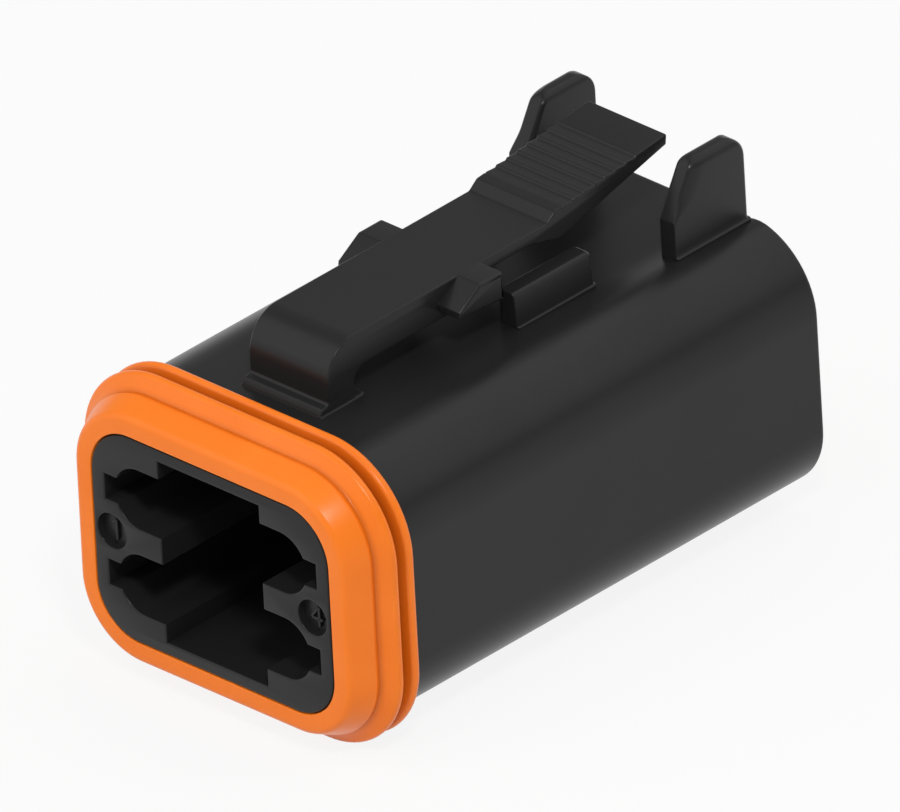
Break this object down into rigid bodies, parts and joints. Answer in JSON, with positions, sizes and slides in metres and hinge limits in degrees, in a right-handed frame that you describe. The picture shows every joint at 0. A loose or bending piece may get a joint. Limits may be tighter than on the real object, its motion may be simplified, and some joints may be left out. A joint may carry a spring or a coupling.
{
  "type": "sealed electrical plug housing",
  "caption": "Rectangular sealed plug housing for a vehicle loom, with a lipped seal round its nose, a shaped mating cavity, a ribbed wire seal and a snap latch with a ridged thumb pad.",
  "frame": {"origin": "middle of the bounding box in plan, at the height of the front seal's lowest line", "axes": "+Y from the mating face towards the wires, +Z towards the latch, +X to the right when looking into the mating face"},
  "size_m": [0.027, 0.0428, 0.0263],
  "materials": {
    "moulding": "fine matte moulded black nylon",
    "silicone": "satin orange silicone rubber"
  },
  "bodies": {
    "plug": {"housing": "moulding", "front_seal": "silicone", "wire_seal": "silicone"},
    "latch": {"latch_lever": "moulding"}
  },
  "joints": [
    {"name": "latch_flex", "type": "hinge", "parent": "plug", "child": "latch", "pos_m": [0, -0.01245, 0.02155], "axis": [-1, 0, 0], "range_deg": [0, 9], "stiffness_Nm_per_rad": 3}
  ]
}
